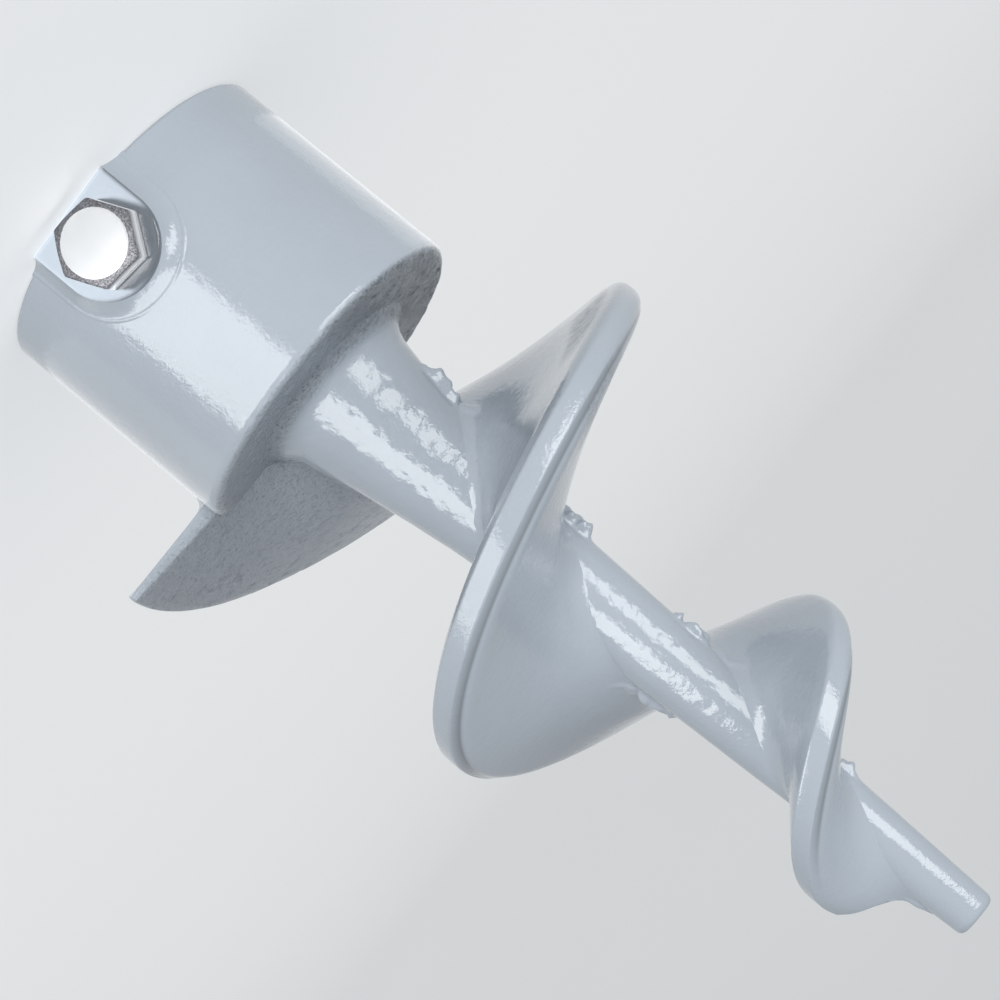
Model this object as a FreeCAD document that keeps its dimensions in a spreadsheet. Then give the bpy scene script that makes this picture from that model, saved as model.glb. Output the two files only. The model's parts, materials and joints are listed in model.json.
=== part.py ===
import FreeCAD, Part
import math
import os
import re
import Sketcher

# Auger point for drilling ice: a socket that slides on a drive pipe, a tapered
# core, and a right-handed flight that winds about two turns down to the tip.
# Millimetres. +Z runs along the axis from the socket's mouth to the tip, the
# origin is the centre of the mouth, and the clamp bolt points to -Y.

SIZES = (
    ("socket_radius", 38.0, "outside radius of the socket tube"),
    ("bore_radius", 24.5, "inside radius of the socket tube"),
    ("tube_length", 50.0, "length of the socket tube"),
    ("mouth_chamfer", 0.8, "chamfer on the outer edge of the mouth"),
    ("base_thickness", 8.5, "thickness of the disc that closes the tube"),
    ("base_edge", 2.4, "rounding of the disc's outer lower edge"),
    ("seam_depth", 2.5, "depth of the weld groove between tube and disc"),
    ("spigot_radius", 12.0, "radius of the core's spigot inside the disc"),
    ("foot_radius", 18.7, "radius of the core where it leaves the disc"),
    ("foot_curve", 350.0, "radius of the core's hollow curve"),
    ("knee_height", 127.0, "height at which the hollow curve ends"),
    ("knee_radius", 9.45, "radius of the core at that height"),
    ("tip_radius", 5.2, "radius of the core near the tip"),
    ("tip_round", 1.7, "rounding of the tip's edge"),
    ("total_length", 237.5, "mouth to tip"),
    ("foot_weld", 7.0, "leg of the weld round the core's foot"),
    ("foot_weld_hollow", 0.28, "share of that leg left at the weld's hollow middle"),
    ("bolt_height", 11.0, "distance of the bolt's axis from the mouth"),
    ("pad_half_width", 12.0, "half the width of the bolt pad, and its end radius"),
    ("pad_top", 40.6, "distance of the pad's flat top from the axis"),
    ("pad_edge", 0.8, "rounding of the pad's top edge"),
    ("pad_weld_width", 4.0, "width of the weld round the pad"),
    ("pad_weld_rise", 1.6, "height of that weld above the tube"),
    ("bolt_radius", 5.0, "M10 thread's outside radius"),
    ("bolt_length", 16.0, "length under the head"),
    ("bolt_clearance", 0.05, "radial clearance between bolt and thread"),
    ("head_flats", 17.0, "across the flats of the head"),
    ("head_height", 6.4, "height of the head"),
    ("head_face_radius", 7.6, "radius of the flat round top of the head"),
    ("head_turn", 38.0, "angle of a hexagon corner from +Z towards +X"),
    ("end_chamfer", 1.0, "chamfer on the bolt's end"),
    ("flight_angle", -14.0, "angle of the flight's first edge from +X"),
    ("flight_height", 55.3, "height of the rim's middle at that edge"),
    ("flight_pitch", 80.6, "advance in the first turn before shortening"),
    ("pitch_loss", 1.2, "shortening, times the square of the turns"),
    ("flight_turns", 2.02, "length of the flight in turns"),
    ("rim_start", 64.2, "radius of the rim at its first edge"),
    ("rim_linear", 5.1, "loss of rim radius, times the turns"),
    ("rim_square", 17.3, "loss of rim radius, times turns squared"),
    ("rim_cube", 4.3, "gain of rim radius, times turns cubed"),
    ("edge_half", 1.2, "half thickness of the first edge"),
    ("rim_half", 4.4, "half thickness just inside the rim"),
    ("root_half", 10.0, "half thickness of the flight at the core"),
    ("land_low", 2.8, "rim land on the socket side of its middle"),
    ("land_high", 1.6, "rim land on the tip side of its middle"),
    ("shoulder", 2.6, "depth of the shoulder beside the rim land"),
    ("rim_growth", 0.25, "turns over which the rim reaches full thickness"),
    ("root_growth", 0.32, "turns over which the root reaches full thickness"),
    ("root_start", 0.2, "share of the root's thickness at the first edge"),
    ("joint_turn", 1.0, "place of the joint between the two flights"),
    ("joint_width", 0.014, "width of the weld in that joint, in turns"),
    ("weld_leg", 4.2, "leg of the root welds along the core"),
    ("weld_climb", 5.0, "leg of the root welds up the flight"),
    ("weld_hollow", 0.3, "share of each leg left at the weld's hollow middle"),
    ("top_weld_start", 0.27, "turn at which the root weld clears the disc, socket side"),
    ("bottom_weld_start", 0.07, "turn at which the root weld begins, tip side"),
    ("root_depth", 2.0, "how far the flight's stock reaches into the core"),
    ("start_weld_leg", 3.2, "leg of the weld that ties the first edge to the socket"),
    ("start_weld_turns", 0.085, "length of that weld in turns"),
)

GUIDES_PER_TURN = 24
SPARE_STATIONS = 3
ROOT_REFINEMENTS = 4
TOUCHING = 0.001
CENTRE = FreeCAD.Vector(0, 0, 0)
UP = FreeCAD.Vector(0, 0, 1)

doc = FreeCAD.newDocument("auger_point")
sheet = doc.addObject("Spreadsheet::Sheet", "sizes")
for row, (alias, number, meaning) in enumerate(SIZES, start=1):
    sheet.set("A%d" % row, meaning)
    sheet.set("B%d" % row, str(number))
    sheet.setAlias("B%d" % row, alias)
doc.recompute()


def size(expression):
    """The number that an expression in the sheet's names gives."""
    return float(sheet.evalExpression(expression))


# ---------------------------------------------------------------- bodies

def new_body(label):
    body = doc.addObject("PartDesign::Body", label)
    body.Label = label
    return body


def new_sketch(body, name, role):
    """A sketch on one of the body's own origin planes."""
    plane = next(item for item in body.Origin.OriginFeatures if item.Role == role)
    sketch = body.newObject("Sketcher::SketchObject", name)
    sketch.AttachmentSupport = [(plane, "")]
    sketch.MapMode = "FlatFace"
    return sketch


def in_sheet(expression):
    """The expression as another object of the document has to write it."""
    names = "|".join(alias for alias, number, meaning in SIZES)
    return re.sub(r"\b(%s)\b" % names, r"sizes.\1", expression)


def hold_point(sketch, part, end, across, along):
    """Tie a point to its two coordinates, which are expressions."""
    for kind, axis, expression in (("DistanceX", -2, across), ("DistanceY", -1, along)):
        if expression == "0":
            sketch.addConstraint(Sketcher.Constraint("PointOnObject", part, end, axis))
            continue
        value = size(expression)
        index = sketch.addConstraint(Sketcher.Constraint(kind, -1, 1, part, end, value))
        sketch.setExpression("Constraints[%d]" % index, in_sheet(expression))


def arc_between(start, finish, radius, side):
    """Arc of a circle whose centre lies to the left (1) or right (-1) of the way."""
    way = finish - start
    middle = (start + finish) * 0.5
    left = FreeCAD.Vector(-way.y, way.x, 0).normalize()
    reach = math.sqrt(radius ** 2 - (way.Length / 2) ** 2)
    centre = middle + left * reach * side
    angles = [math.atan2(p.y - centre.y, p.x - centre.x) for p in (start, finish)]
    if side < 0:
        angles.reverse()
    return Part.ArcOfCircle(Part.Circle(centre, UP, radius), angles[0], angles[1])


def draw_outline(sketch, corners, arcs=None):
    """Closed outline. arcs maps a side's number to its (radius, centre's side).

    Ends and radius fix an arc, but a half circle needs its centre held level instead.
    """
    arcs = arcs or {}
    points = [FreeCAD.Vector(size(x), size(y), 0) for x, y in corners]
    parts = []
    for number, start in enumerate(points):
        finish = points[(number + 1) % len(points)]
        if number not in arcs:
            parts.append((sketch.addGeometry(Part.LineSegment(start, finish)), 1, 2))
            continue
        radius, side = arcs[number]
        index = sketch.addGeometry(arc_between(start, finish, size(radius), side))
        parts.append((index, 1, 2) if side > 0 else (index, 2, 1))
        if (finish - start).Length > 2 * size(radius) - TOUCHING:
            sketch.addConstraint(Sketcher.Constraint("Horizontal", index, 3, index, 1))
            continue
        held = sketch.addConstraint(Sketcher.Constraint("Radius", index, size(radius)))
        sketch.setExpression("Constraints[%d]" % held, in_sheet(radius))
    for number, (index, first, last) in enumerate(parts):
        following, opening, ending = parts[(number + 1) % len(parts)]
        sketch.addConstraint(Sketcher.Constraint("Coincident", index, last, following, opening))
        hold_point(sketch, index, first, *corners[number])


def draw_circle(sketch, across, along, radius):
    centre = FreeCAD.Vector(size(across), size(along), 0)
    index = sketch.addGeometry(Part.Circle(centre, UP, size(radius)))
    hold_point(sketch, index, 3, across, along)
    held = sketch.addConstraint(Sketcher.Constraint("Radius", index, size(radius)))
    sketch.setExpression("Constraints[%d]" % held, in_sheet(radius))


def revolve(body, sketch, name):
    turned = body.newObject("PartDesign::Revolution", name)
    turned.Profile = sketch
    turned.ReferenceAxis = (sketch, ["V_Axis"])
    turned.Angle = 360
    return turned


def pad(body, sketch, name, length):
    raised = body.newObject("PartDesign::Pad", name)
    raised.Profile = sketch
    raised.setExpression("Length", in_sheet(length))
    return raised


def cut_through(body, sketch, name, both_ways=False):
    """Pocket through everything, towards -Y or, both ways, along Z."""
    doc.recompute()
    before = body.Shape.Volume
    pocket = body.newObject("PartDesign::Pocket", name)
    pocket.Profile = sketch
    pocket.Type = "ThroughAll"
    if both_ways:
        pocket.Midplane = True
    else:
        pocket.Reversed = True
    doc.recompute()
    if body.Shape.Volume >= before:
        raise ValueError("%s cuts nothing" % name)
    return pocket


def make_socket_tube():
    body = new_body("socket_tube")
    sketch = new_sketch(body, "tube_outline", "XZ_Plane")
    draw_outline(sketch, (
        ("bore_radius", "0"),
        ("socket_radius - mouth_chamfer", "0"),
        ("socket_radius", "mouth_chamfer"),
        ("socket_radius", "tube_length - seam_depth"),
        ("socket_radius - seam_depth", "tube_length"),
        ("bore_radius", "tube_length"),
    ))
    revolve(body, sketch, "tube_wall")
    hole = new_sketch(body, "tube_hole_outline", "XZ_Plane")
    draw_circle(hole, "0", "bolt_height", "bolt_radius + bolt_clearance")
    cut_through(body, hole, "tube_hole")
    return body


def make_socket_base():
    """Disc that closes the tube. Its centre takes the core's spigot."""
    body = new_body("socket_base")
    sketch = new_sketch(body, "base_outline", "XZ_Plane")
    draw_outline(sketch, (
        ("spigot_radius", "tube_length"),
        ("socket_radius - seam_depth", "tube_length"),
        ("socket_radius", "tube_length + seam_depth"),
        ("socket_radius", "tube_length + base_thickness - base_edge"),
        ("socket_radius - base_edge", "tube_length + base_thickness"),
        ("spigot_radius", "tube_length + base_thickness"),
    ), {3: ("base_edge", 1)})
    revolve(body, sketch, "base_disc")
    return body


def make_socket_seam_weld():
    """Ring of weld that fills the groove between the tube and the disc."""
    body = new_body("socket_seam_weld")
    sketch = new_sketch(body, "seam_outline", "XZ_Plane")
    draw_outline(sketch, (
        ("socket_radius - seam_depth", "tube_length"),
        ("socket_radius", "tube_length - seam_depth"),
        ("socket_radius", "tube_length + seam_depth"),
    ))
    revolve(body, sketch, "seam_ring")
    return body


def make_core_shaft():
    """Spigot, hollow-curved foot, and straight taper down to the blunt tip."""
    body = new_body("core_shaft")
    sketch = new_sketch(body, "core_outline", "XZ_Plane")
    draw_outline(sketch, (
        ("0", "tube_length"),
        ("spigot_radius", "tube_length"),
        ("spigot_radius", "tube_length + base_thickness"),
        ("foot_radius", "tube_length + base_thickness"),
        ("knee_radius", "knee_height"),
        ("tip_radius", "total_length - tip_round"),
        ("tip_radius - tip_round", "total_length"),
        ("0", "total_length"),
    ), {3: ("foot_curve", -1), 5: ("tip_round", 1)})
    revolve(body, sketch, "core_taper")
    return body


def pad_outline(sketch, growth):
    """U shape that opens at the mouth and ends in a half circle round the bolt."""
    half = "pad_half_width" + growth
    draw_outline(sketch, (
        ("0 - (%s)" % half, "0"),
        (half, "0"),
        (half, "bolt_height"),
        ("0 - (%s)" % half, "bolt_height"),
    ), {2: (half, 1)})


def make_bolt_pad():
    """Raised flat seat for the bolt's head, seated on the round of the tube."""
    body = new_body("bolt_pad")
    block = new_sketch(body, "pad_block_outline", "XZ_Plane")
    pad_outline(block, "")
    pad(body, block, "pad_block", "pad_top")
    seat = new_sketch(body, "pad_seat_outline", "XY_Plane")
    draw_circle(seat, "0", "0", "socket_radius")
    seated = cut_through(body, seat, "pad_seat", both_ways=True)
    flat = next("Face%d" % (number + 1) for number, face in enumerate(seated.Shape.Faces)
                if face.BoundBox.YMax < TOUCHING - size("pad_top"))
    rounding = body.newObject("PartDesign::Fillet", "pad_rounding")
    rounding.Base = (seated, [flat])
    rounding.setExpression("Radius", in_sheet("pad_edge"))
    hole = new_sketch(body, "pad_hole_outline", "XZ_Plane")
    draw_circle(hole, "0", "bolt_height", "bolt_radius + bolt_clearance")
    cut_through(body, hole, "pad_hole")
    return body


def make_pad_weld():
    """Low skirt of weld that follows the tube round the pad."""
    body = new_body("pad_weld")
    block = new_sketch(body, "skirt_outline", "XZ_Plane")
    pad_outline(block, " + pad_weld_width")
    pad(body, block, "skirt_block", "pad_top")
    seat = new_sketch(body, "skirt_seat_outline", "XY_Plane")
    draw_circle(seat, "0", "0", "socket_radius")
    cut_through(body, seat, "skirt_seat", both_ways=True)
    trim = new_sketch(body, "skirt_trim_outline", "XY_Plane")
    draw_circle(trim, "0", "0", "socket_radius + pad_weld_rise")
    draw_circle(trim, "0", "0", "2 * socket_radius")
    cut_through(body, trim, "skirt_trim", both_ways=True)
    inside = new_sketch(body, "skirt_inside_outline", "XZ_Plane")
    pad_outline(inside, "")
    cut_through(body, inside, "skirt_inside")
    return body


def make_clamp_bolt():
    """M10 hexagon-head bolt, drawn standing on +Z and then laid along -Y."""
    body = new_body("clamp_bolt")
    shank = new_sketch(body, "shank_outline", "XZ_Plane")
    draw_outline(shank, (
        ("0", "0 - bolt_length"),
        ("bolt_radius - end_chamfer", "0 - bolt_length"),
        ("bolt_radius", "end_chamfer - bolt_length"),
        ("bolt_radius", "0"),
        ("0", "0"),
    ))
    revolve(body, shank, "shank")
    head = new_sketch(body, "head_outline", "XY_Plane")
    corners = []
    for number in range(6):
        turn = "(head_turn + %d) * 1 deg" % (60 * number)
        reach = "head_flats / sqrt(3)"
        corners.append(("%s * sin(%s)" % (reach, turn), "%s * cos(%s)" % (reach, turn)))
    draw_outline(head, corners)
    pad(body, head, "head_block", "head_height")
    edge = new_sketch(body, "head_chamfer_outline", "XZ_Plane")
    slope = "(head_flats - head_face_radius) * tan(30 deg)"
    draw_outline(edge, (
        ("head_face_radius", "head_height"),
        ("head_flats", "head_height - " + slope),
        ("head_flats", "head_height"),
    ))
    chamfer = body.newObject("PartDesign::Groove", "head_chamfer")
    chamfer.Profile = edge
    chamfer.ReferenceAxis = (edge, ["V_Axis"])
    chamfer.Angle = 360
    laid = FreeCAD.Rotation(FreeCAD.Vector(1, 0, 0), 90)
    body.Placement = FreeCAD.Placement(CENTRE, laid)
    body.setExpression("Placement.Base.y", in_sheet("0 - pad_top"))
    body.setExpression("Placement.Base.z", in_sheet("bolt_height"))
    return body


# --------------------------------------------------------- helical pieces

def smooth_step(share):
    """Rise from 0 to 1 with no jump in slope or in curvature."""
    share = min(max(share, 0.0), 1.0)
    return share ** 3 * (10 - 15 * share + 6 * share ** 2)


def core_radius(height):
    """Radius of the core shaft's outside at a height."""
    knee = FreeCAD.Vector(size("knee_radius"), size("knee_height"), 0)
    if height >= knee.y:
        fall = (knee.x - size("tip_radius")) / (size("total_length - tip_round") - knee.y)
        return knee.x - fall * (height - knee.y)
    foot = FreeCAD.Vector(size("foot_radius"), size("tube_length + base_thickness"), 0)
    centre = arc_between(foot, knee, size("foot_curve"), -1).Center
    return centre.x - math.sqrt(size("foot_curve") ** 2 - (height - centre.y) ** 2)


def rim_height(turns):
    return size("flight_height") + size("flight_pitch") * turns - size("pitch_loss") * turns ** 2


def rim_radius(turns):
    loss = size("rim_linear") * turns + size("rim_square") * turns ** 2
    return size("rim_start") - loss + size("rim_cube") * turns ** 3


def half_thickness(turns):
    """Half thickness of the flight just inside the rim, and at the core."""
    edge = size("edge_half")
    growth = smooth_step(turns / size("rim_growth"))
    rim = edge + (size("rim_half") - edge) * growth
    start = size("root_start")
    share = start + (1 - start) * smooth_step(turns / size("root_growth"))
    return rim, rim + (size("root_half") - size("rim_half")) * share


def flank_point(turns, side, radius):
    """Point of a flank, as (radius, height). side is -1 to the socket, 1 to the tip."""
    middle = rim_height(turns)
    rim, root = half_thickness(turns)
    outer = rim_radius(turns) - size("shoulder")
    inner = core_radius(middle)
    share = (outer - radius) / (outer - inner)
    return radius, middle + side * (rim + (root - rim) * share)


def root_corner(turns, side):
    """Point where a flank meets the core, as (radius, height)."""
    radius = core_radius(rim_height(turns))
    for refinement in range(ROOT_REFINEMENTS):
        radius = core_radius(flank_point(turns, side, radius)[1])
    return flank_point(turns, side, radius)


def flight_section(turns):
    """Corners of the flight's section, from the socket-side root to the tip-side one."""
    middle = rim_height(turns)
    rim = rim_radius(turns)
    scale = half_thickness(turns)[0] / size("rim_half")
    corners = []
    for side, land in ((-1, "land_low"), (1, "land_high")):
        core = root_corner(turns, side)[0]
        half = [
            flank_point(turns, side, core - size("root_depth")),
            flank_point(turns, side, core + size("weld_climb")),
            flank_point(turns, side, rim - size("shoulder")),
            (rim, middle + side * size(land) * scale),
        ]
        corners += half if side < 0 else reversed(half)
    return corners


def root_weld_section(turns, side):
    """Hollow fillet between the core and one flank, rooted a little inside the core."""
    corner = root_corner(turns, side)
    inside = flank_point(turns, side, corner[0] - size("root_depth"))
    toe = flank_point(turns, side, corner[0] + size("weld_climb"))
    far = corner[1] + side * size("weld_leg")
    lip = (core_radius(far), far)
    share = size("weld_hollow")
    hollow = [corner[axis] + share * (toe[axis] + lip[axis] - 2 * corner[axis]) for axis in (0, 1)]
    buried = [2 * lip[axis] - hollow[axis] for axis in (0, 1)]
    return [inside, toe, hollow, buried]


def start_weld_section(turns):
    """Fillet between the disc's rim and the flight's socket side at its first edge."""
    leg = size("start_weld_leg")
    inner = size("socket_radius - base_edge")
    outer = size("socket_radius") + leg
    face = rim_height(turns)
    low = flank_point(turns, -1, inner)[1]
    return [(inner, face), (outer, face), flank_point(turns, -1, outer), (inner, low - leg)]


def place(turns, corner):
    """A section's corner, carried round the axis to its own angle."""
    angle = math.radians(size("flight_angle") + 360 * turns)
    radius, height = corner
    return FreeCAD.Vector(radius * math.cos(angle), radius * math.sin(angle), height)


def ruled_face(first, second):
    """Face of straight lines between two guide curves that share their knots."""
    surface = Part.BSplineSurface()
    surface.buildFromPolesMultsKnots(
        [first.getPoles(), second.getPoles()],
        [2, 2], first.getMultiplicities(),
        [0, 1], first.getKnots(),
        False, False, 1, first.Degree,
    )
    return surface.toShape()


def winding_stations():
    """Counts of turns of all the guide points: even steps and the ends of the pieces."""
    half_gap = size("joint_width") / 2
    joint = size("joint_turn")
    finish = size("flight_turns")
    last = math.ceil(finish * GUIDES_PER_TURN) + SPARE_STATIONS
    stations = {step / GUIDES_PER_TURN for step in range(-SPARE_STATIONS, last + 1)}
    stations |= {0.0, joint - half_gap, joint, joint + half_gap, finish}
    stations |= {size("top_weld_start"), size("bottom_weld_start"), size("start_weld_turns")}
    return sorted(stations)


def wind(section, start, finish):
    """Solid swept by a section round the axis, between two counts of turns.

    Every piece takes its guide curves from the same stations, and they run on past
    its ends before they are trimmed, so that neighbours share their surfaces.
    """
    stations = winding_stations()
    rings = [[place(turns, corner) for corner in section(turns)] for turns in stations]
    guides = []
    for track in zip(*rings):
        curve = Part.BSplineCurve()
        curve.interpolate(Points=list(track), Parameters=stations)
        curve.segment(start, finish)
        guides.append(curve)
    faces = [ruled_face(guides[number - 1], guides[number]) for number in range(len(guides))]
    for end in (stations.index(start), stations.index(finish)):
        ring = rings[end]
        faces.append(Part.Face(Part.makePolygon(ring + [ring[0]])))
    skin = Part.Compound(faces)
    skin.sewShape()
    solid = Part.Solid(skin.Shells[0])
    if solid.Volume < 0:
        solid.reverse()
    return solid


def keep_largest(shape):
    """The main solid of a cut, without the slivers on its far side."""
    return max(shape.Solids, key=lambda solid: solid.Volume)


def add_shape(label, shape):
    piece = doc.addObject("Part::Feature", label)
    piece.Label = label
    piece.Shape = shape
    piece.Placement = FreeCAD.Placement()
    return piece


def make_flights(socket):
    """Two flights of about a turn each and the weld that joins them end to end."""
    half_gap = size("joint_width") / 2
    joint = size("joint_turn")
    spans = (
        ("upper_flight", 0.0, joint - half_gap),
        ("flight_joint_weld", joint - half_gap, joint + half_gap),
        ("lower_flight", joint + half_gap, size("flight_turns")),
    )
    return [add_shape(label, keep_largest(wind(flight_section, start, finish).cut(socket)))
            for label, start, finish in spans]


def make_root_welds(socket):
    """Four fillets: each flight is welded to the core along both of its sides."""
    joint = size("joint_turn")
    spans = (
        ("upper_flight_top_weld", -1, size("top_weld_start"), joint),
        ("upper_flight_bottom_weld", 1, size("bottom_weld_start"), joint),
        ("lower_flight_top_weld", -1, joint, size("flight_turns")),
        ("lower_flight_bottom_weld", 1, joint, size("flight_turns")),
    )
    welds = []
    for label, side, start, finish in spans:
        shape = wind(lambda turns: root_weld_section(turns, side), start, finish)
        welds.append(add_shape(label, keep_largest(shape.cut(socket))))
    return welds


def make_foot_weld(neighbours):
    """Fillet round the core's foot, left out where the flight starts."""
    leg = size("foot_weld")
    face = size("tube_length + base_thickness")
    foot = size("foot_radius")
    inside = FreeCAD.Vector(foot - leg, 0, face)
    lip = FreeCAD.Vector(foot + leg, 0, face)
    top = FreeCAD.Vector(core_radius(face + leg), 0, face + leg)
    inset = leg * size("foot_weld_hollow")
    hollow = FreeCAD.Vector(foot + inset, 0, face + inset)
    outline = Part.Wire([
        Part.makeLine(inside, lip),
        Part.Arc(lip, hollow, top).toShape(),
        Part.makeLine(top, FreeCAD.Vector(inside.x, 0, top.z)),
        Part.makeLine(FreeCAD.Vector(inside.x, 0, top.z), inside),
    ])
    ring = Part.Face(outline).revolve(CENTRE, UP, 360)
    return add_shape("core_foot_weld", keep_largest(ring.cut(neighbours)))


def make_start_weld(neighbours):
    shape = wind(start_weld_section, 0.0, size("start_weld_turns"))
    return add_shape("flight_start_weld", keep_largest(shape.cut(neighbours)))


# ------------------------------------------------------------------ build

def build():
    tube = make_socket_tube()
    base = make_socket_base()
    seam = make_socket_seam_weld()
    core = make_core_shaft()
    pieces = [tube, base, seam, core, make_bolt_pad(), make_pad_weld(), make_clamp_bolt()]
    doc.recompute()
    socket = [core.Shape, base.Shape, seam.Shape, tube.Shape]
    flights = make_flights(socket)
    welds = make_root_welds(socket)
    wound = [piece.Shape for piece in flights + welds]
    foot = make_foot_weld([core.Shape] + wound)
    start = make_start_weld(socket + wound[:1])
    doc.recompute()
    return pieces + flights + welds + [foot, start]


def check(pieces):
    for item in doc.Objects:
        if "Invalid" in item.State or "Error" in item.State:
            raise ValueError("%s failed: %s" % (item.Name, item.State))
    for piece in pieces:
        shape = piece.Shape
        if shape.isNull() or not shape.isValid() or len(shape.Solids) != 1:
            raise ValueError("%s is not one sound solid" % piece.Label)


def write(pieces):
    os.makedirs("parts", exist_ok=True)
    for piece in pieces:
        piece.Shape.exportStep(os.path.join("parts", piece.Label + ".step"))


parts = build()
check(parts)
write(parts)
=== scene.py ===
import json
import math

import bpy
import numpy as np
from mathutils import Matrix, Vector

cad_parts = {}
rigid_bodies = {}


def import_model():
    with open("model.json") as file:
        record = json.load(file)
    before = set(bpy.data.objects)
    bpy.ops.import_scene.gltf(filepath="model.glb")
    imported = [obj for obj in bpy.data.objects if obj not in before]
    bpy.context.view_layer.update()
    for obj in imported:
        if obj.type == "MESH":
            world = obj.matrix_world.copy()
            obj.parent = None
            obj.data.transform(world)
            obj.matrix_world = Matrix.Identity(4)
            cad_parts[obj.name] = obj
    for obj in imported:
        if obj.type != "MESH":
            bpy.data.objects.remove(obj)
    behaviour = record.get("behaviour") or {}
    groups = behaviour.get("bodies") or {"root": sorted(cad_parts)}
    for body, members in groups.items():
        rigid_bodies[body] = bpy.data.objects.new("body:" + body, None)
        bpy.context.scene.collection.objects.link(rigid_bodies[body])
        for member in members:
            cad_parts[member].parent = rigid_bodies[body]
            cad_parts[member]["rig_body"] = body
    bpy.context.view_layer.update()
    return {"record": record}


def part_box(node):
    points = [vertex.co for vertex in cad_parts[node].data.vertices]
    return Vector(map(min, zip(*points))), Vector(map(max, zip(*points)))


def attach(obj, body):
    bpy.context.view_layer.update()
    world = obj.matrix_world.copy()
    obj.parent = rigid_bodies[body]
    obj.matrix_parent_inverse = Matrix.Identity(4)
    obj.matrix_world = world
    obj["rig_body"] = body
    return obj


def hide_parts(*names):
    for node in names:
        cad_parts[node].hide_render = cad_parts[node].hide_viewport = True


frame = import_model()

# The looks of an auger point for drilling ice. Lengths are millimetres until a
# mesh is made. +Z runs from the socket's mouth to the tip, as in the CAD model.

MM = 0.001


# ------------------------------------------------------- sizes from the frame

def corner(node, which, axis):
    return round(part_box(node)[which][axis] / MM, 2)


LOW, HIGH = 0, 1
X, Y, Z = 0, 1, 2
SOCKET_RADIUS = corner("socket_tube", HIGH, X)
TUBE_LENGTH = corner("socket_tube", HIGH, Z)
SEAM_DEPTH = TUBE_LENGTH - corner("socket_seam_weld", LOW, Z)
DISC_TOP = corner("socket_base", HIGH, Z)
TOTAL_LENGTH = corner("core_shaft", HIGH, Z)
BORE_RADIUS = frame["record"]["mounts"][0]["dims"]["r_mm"]
PAD_TOP = -corner("bolt_pad", LOW, Y)
PAD_HALF = corner("bolt_pad", HIGH, X)
HEAD_TOP = -corner("clamp_bolt", LOW, Y)
BOLT_END = -corner("clamp_bolt", HIGH, Y)
BOLT_HEIGHT = (corner("clamp_bolt", LOW, Z) + corner("clamp_bolt", HIGH, Z)) / 2

# The core, the flight and the bolt follow the same values as in the CAD model.
SPIGOT_RADIUS = 12.0
DISC_EDGE = 2.4
FOOT_RADIUS = 18.7
FOOT_CURVE = 350.0
KNEE_HEIGHT = 127.0
KNEE_RADIUS = 9.45
TIP_RADIUS = 5.2
TIP_ROUND = 1.7
FOOT_WELD = 7.0
FLIGHT_ANGLE = -14.0
FLIGHT_TURNS = 2.02
FLIGHT_HEIGHT = 55.3
FLIGHT_PITCH = 80.6
PITCH_LOSS = 1.2
RIM_START = 64.2
RIM_LINEAR = 5.1
RIM_SQUARE = 17.3
RIM_CUBE = 4.3
RIM_GROWTH = 0.25
ROOT_GROWTH = 0.32
ROOT_START = 0.2
SHOULDER = 2.6
EDGE_HALF = 1.2
RIM_HALF = 4.4
ROOT_HALF = 10.0
LAND_LOW = 2.8
LAND_HIGH = 1.6
JOINT_TURN = 1.0
JOINT_HALF = 0.007
ROOT_DEPTH = 2.0
START_WELD_LEG = 3.2
START_WELD_TURNS = 0.085
HOLE_RADIUS = 5.05
BOLT_RADIUS = 5.0
HEAD_FLATS = 17.0

# The visual model's own values. Its root welds are larger than the CAD model's.
WELD_LEG = 8.0
WELD_CLIMB = 11.0
LAND_CROWN = 0.08
THREAD_PITCH = 1.5
CENTRE = 0.02            # a turned outline stops this far from its axis


# ------------------------------------------------------------- small formulas

def smooth_step(share):
    share = np.clip(share, 0.0, 1.0)
    return share ** 3 * (10 - 15 * share + 6 * share ** 2)


def core_radius(height):
    """Radius of the core at a height: a hollow curve, then a straight taper."""
    way = np.array([KNEE_RADIUS - FOOT_RADIUS, KNEE_HEIGHT - DISC_TOP])
    middle = np.array([(KNEE_RADIUS + FOOT_RADIUS) / 2, (KNEE_HEIGHT + DISC_TOP) / 2])
    across = np.array([way[1], -way[0]]) / np.hypot(*way)
    centre = middle + across * math.sqrt(FOOT_CURVE ** 2 - np.hypot(*way) ** 2 / 4)
    hollow = centre[0] - np.sqrt(FOOT_CURVE ** 2 - (height - centre[1]) ** 2)
    fall = (KNEE_RADIUS - TIP_RADIUS) / (TOTAL_LENGTH - TIP_ROUND - KNEE_HEIGHT)
    return np.where(height < KNEE_HEIGHT, hollow, KNEE_RADIUS - fall * (height - KNEE_HEIGHT))


def rim_height(turns):
    """Height of the rim's middle after a number of turns from the flight's first edge."""
    return FLIGHT_HEIGHT + FLIGHT_PITCH * turns - PITCH_LOSS * turns ** 2


def rim_radius(turns):
    return RIM_START - RIM_LINEAR * turns - RIM_SQUARE * turns ** 2 + RIM_CUBE * turns ** 3


def rim_half(turns):
    """Half the flight's thickness just inside its rim."""
    return EDGE_HALF + (RIM_HALF - EDGE_HALF) * smooth_step(turns / RIM_GROWTH)


def root_half(turns):
    """Half the flight's thickness at the core."""
    share = ROOT_START + (1 - ROOT_START) * smooth_step(turns / ROOT_GROWTH)
    return rim_half(turns) + (ROOT_HALF - RIM_HALF) * share


def polar(angle, radius, height):
    """Points from an angle in degrees, a radius and a height."""
    turned = np.radians(angle)
    parts = np.broadcast_arrays(radius * np.cos(turned), radius * np.sin(turned), height)
    return np.stack(parts, axis=-1)


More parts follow.
